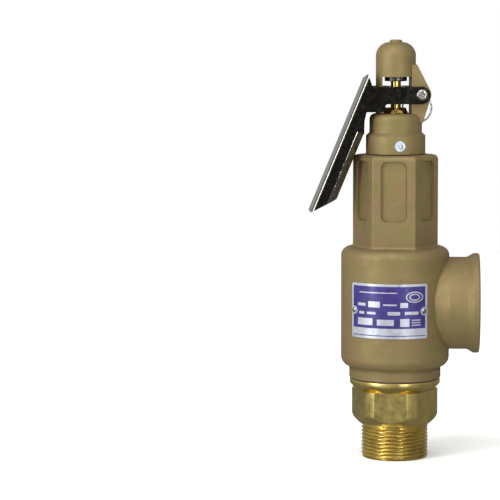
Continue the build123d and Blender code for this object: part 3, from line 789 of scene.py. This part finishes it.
class VALVE_OT_trim(bpy.types.Operator):
    """Finishes the screws, nuts, spindle, spring and the parts inside"""
    bl_idname = "valve.trim"
    bl_label = "Trim and screws"

    def execute(self, context):
        # satin grey if ground, oily near-black if blackened, golden if brass, blue-grey if plated
        ground = turned_metal("steel_ground", "steel", "zinc",
                              smooth=0.22, rough=0.38, ring_size=0.4)
        black = turned_metal("steel_blackened_oiled", "blackened", "polished",
                             smooth=0.28, rough=0.44, ring_size=0.5)
        brass_bright = turned_metal("brass_turned_bright", "bright_brass", "brass",
                                    smooth=0.12, rough=0.24, ring_size=0.5)
        brass_inside = turned_metal("bronze_turned_bore", "brass", "brass_dull",
                                    smooth=0.22, rough=0.36, ring_size=0.5)
        zinc = turned_metal("steel_zinc_plated", "zinc", "steel",
                            smooth=0.22, rough=0.36, ring_size=0.5)
        wire = turned_metal("spring_steel_oil_tempered", "spring", "blackened",
                            smooth=0.30, rough=0.44, ring_size=0.6)
        # fibre: dull and felted; PTFE: waxy white with faint tool flecks
        fibre = soft_solid("vulcanised_fibre_pressed", "fibre", "fibre_fleck",
                           grain_size=0.8, smooth=0.70, rough=0.85, depth=0.05)
        polymer = soft_solid("ptfe_machined", "polymer", "polymer_fleck",
                             grain_size=1.2, smooth=0.38, rough=0.50, depth=0.01)
        finishes = (
            (ground, ("disc_retaining_pin", "lower_spring_plate", "upper_spring_plate",
                      "nameplate_rivets")),
            (black, ("lock_nut", "lifting_disc", "jam_nut")),
            (brass_bright, ("adjusting_screw", "spindle")),
            (brass_inside, ("valve_guide", "disc_holder")),
            (zinc, ("yoke_set_screw",)),
            (wire, ("spring",)),
            (fibre, ("nozzle_gasket",)),
            (polymer, ("seat_insert",)),
        )
        for material, nodes in finishes:
            for node in nodes:
                paint_node(node, material)
        for node in ("adjusting_screw", "lock_nut", "lifting_disc", "jam_nut"):
            soften_edges(node, TURNED_EDGE)
        return {"FINISHED"}


# ---- Stage ---------------------------------------------------------------------------------------

def facing(tree, way, side, low, high, to_low, to_high):
    """How squarely a direction faces a side, spread over a new span."""
    dot = add_node(tree, "ShaderNodeVectorMath", {"operation": "DOT_PRODUCT", 1: side}, {0: way})
    spread = add_node(tree, "ShaderNodeMapRange",
                      {"From Min": low, "From Max": high, "To Min": to_low, "To Max": to_high},
                      {"Value": dot.outputs["Value"]})
    return spread.outputs["Result"]


def studio_world():
    """White to the eye and for soft light; polished metal sees a dimmer studio with a light side."""
    world = bpy.data.worlds.new("studio")
    bpy.context.scene.world = world
    world.use_nodes = True
    tree = world.node_tree
    tree.nodes.clear()
    way = add_node(tree, "ShaderNodeTexCoord").outputs["Generated"]
    # the room is lighter to the upper left, and dark straight in front of the lever's flat side
    light_side = Vector((-0.70, -0.50, 0.50)).normalized()
    dark_side = Vector((0.21, -0.97, 0.03)).normalized()
    room = facing(tree, way, light_side, low=-0.9, high=1.0, to_low=0.26, to_high=0.66)
    shade = facing(tree, way, dark_side, low=0.90, high=0.985, to_low=1.0, to_high=0.06)
    room = add_node(tree, "ShaderNodeMath", {"operation": "MULTIPLY"}, {0: room, 1: shade}).outputs[0]
    soft = facing(tree, way, light_side, low=-0.9, high=1.0, to_low=0.45, to_high=1.35)
    rays = add_node(tree, "ShaderNodeLightPath")
    glow = add_node(tree, "ShaderNodeMix", {"data_type": "FLOAT", 2: 1.0},
                    {0: rays.outputs["Is Diffuse Ray"], 3: soft}).outputs[0]
    glow = add_node(tree, "ShaderNodeMix", {"data_type": "FLOAT"},
                    {0: rays.outputs["Is Glossy Ray"], 2: glow, 3: room}).outputs[0]
    background = add_node(tree, "ShaderNodeBackground", {"Color": (1, 1, 1, 1)}, {"Strength": glow})
    output = add_node(tree, "ShaderNodeOutputWorld")
    tree.links.new(background.outputs["Background"], output.inputs["Surface"])


def strip_light(name, azimuth, distance, height, width, tall, power):
    """A soft upright strip of light, turned to face the valve."""
    data = bpy.data.lights.new(name, "AREA")
    data.shape = "RECTANGLE"
    data.size = width
    data.size_y = tall
    data.energy = power
    obj = bpy.data.objects.new(name, data)
    bpy.context.scene.collection.objects.link(obj)
    angle = radians(azimuth)
    obj.location = (distance * sin(angle), -distance * cos(angle), height)
    target = Vector((0.0, 0.0, BODY_HIGH.z * 0.6))
    obj.rotation_euler = (target - obj.location).to_track_quat("-Z", "Y").to_euler()


def floor_disc(radius):
    """A pale floor with a rim rolled gently down."""
    bm = bmesh.new()
    facets = 96
    centre_hole, rings = 0.002, 4  # the hole is a share of the radius and hidden under the valve
    rim_out, rim_drop = 1.01, 4.0 * MM
    stations = [round_station(radius * centre_hole, 0.0)]
    for ring in range(1, rings + 1):
        stations.append(round_station(radius * ring / rings, 0.0))
    stations.append(round_station(radius * rim_out, -rim_drop))

    def place(ring_radius, angle, height):
        return (ring_radius * cos(angle), ring_radius * sin(angle), height)

    lathe(bm, stations, facets, place, closed=False)
    mesh = bpy.data.meshes.new("studio_floor")
    bm.to_mesh(mesh)
    bm.free()
    floor = bpy.data.objects.new("studio_floor", mesh)
    bpy.context.scene.collection.objects.link(floor)
    material, tree, shader, place_out = new_material("painted_board_matt")
    tone = mottled(tree, place_out, colours().floor, colours().floor_patch,
                   size=60.0, detail=3.0, low=0.4, high=0.6)
    tree.links.new(tone, shader.inputs["Base Color"])
    shader.inputs["Roughness"].default_value = 0.9
    shader.inputs["Specular IOR Level"].default_value = 0.1
    # polished metal sees the board as a dim one, so that its underside keeps its depth
    dim = add_node(tree, "ShaderNodeEmission", {"Color": (1, 1, 1, 1), "Strength": 0.20})
    rays = add_node(tree, "ShaderNodeLightPath")
    mix = add_node(tree, "ShaderNodeMixShader", {}, {
        0: rays.outputs["Is Glossy Ray"], 1: shader.outputs["BSDF"], 2: dim.outputs["Emission"]})
    output = next(node for node in tree.nodes if node.type == "OUTPUT_MATERIAL")
    tree.links.new(mix.outputs["Shader"], output.inputs["Surface"])
    paint(floor, material)
    return floor


class VALVE_OT_stage(bpy.types.Operator):
    """Sets up the floor, the studio light and the camera"""
    bl_idname = "valve.stage"
    bl_label = "Studio"

    def execute(self, context):
        stage = context.scene.valve_stage
        floor_disc(stage.floor_radius)
        studio_world()
        strip_light("left_strip", azimuth=-48.0, distance=1.2, height=0.35, width=0.16, tall=0.9,
                    power=9.0)
        strip_light("right_strip", azimuth=24.0, distance=1.3, height=0.35, width=0.10, tall=0.9,
                    power=6.0)
        strip_light("overhead", azimuth=-20.0, distance=0.7, height=1.3, width=0.9, tall=0.9,
                    power=8.0)
        camera_data = bpy.data.cameras.new("camera")
        camera_data.lens = stage.camera_lens
        camera_data.sensor_width = 36.0
        camera_data.clip_start = 0.1
        camera_data.dof.use_dof = False
        camera = bpy.data.objects.new("camera", camera_data)
        context.scene.collection.objects.link(camera)
        camera.location = stage.camera_place
        aim = Euler((pi / 2 - stage.camera_pitch, 0.0, stage.camera_yaw)).to_matrix()
        camera.rotation_euler = (aim @ Matrix.Rotation(-stage.camera_roll, 3, "Z")).to_euler()
        context.scene.camera = camera
        context.scene.view_settings.view_transform = "Standard"
        context.scene.view_settings.look = "None"
        return {"FINISHED"}


# ---- Panel and registration ------------------------------------------------------------------------

OPERATORS = (VALVE_OT_inlet_nozzle, VALVE_OT_outlet_thread, VALVE_OT_nameplate, VALVE_OT_castings,
             VALVE_OT_lever, VALVE_OT_trim, VALVE_OT_stage)


class VALVE_PT_pieces(bpy.types.Panel):
    """Lists the valve's pieces"""
    bl_label = "Pressure Relief Valve"
    bl_idname = "VALVE_PT_pieces"
    bl_space_type = "VIEW_3D"
    bl_region_type = "UI"
    bl_category = "Valve"

    def draw(self, context):
        for operator in OPERATORS:
            self.layout.operator(operator.bl_idname)


CLASSES = (ValveSizes, ValveColours, ValveStage, *OPERATORS, VALVE_PT_pieces)


def register():
    for cls in CLASSES:
        bpy.utils.register_class(cls)
    bpy.types.Scene.valve_sizes = bpy.props.PointerProperty(type=ValveSizes)
    bpy.types.Scene.valve_colours = bpy.props.PointerProperty(type=ValveColours)
    bpy.types.Scene.valve_stage = bpy.props.PointerProperty(type=ValveStage)


def unregister():
    del bpy.types.Scene.valve_stage
    del bpy.types.Scene.valve_colours
    del bpy.types.Scene.valve_sizes
    for cls in reversed(CLASSES):
        bpy.utils.unregister_class(cls)


def main():
    register()
    bpy.ops.valve.inlet_nozzle()
    bpy.ops.valve.outlet_thread()
    bpy.ops.valve.nameplate()
    bpy.ops.valve.castings()
    bpy.ops.valve.lever()
    bpy.ops.valve.trim()
    bpy.ops.valve.stage()


if __name__ == "__main__":
    main()
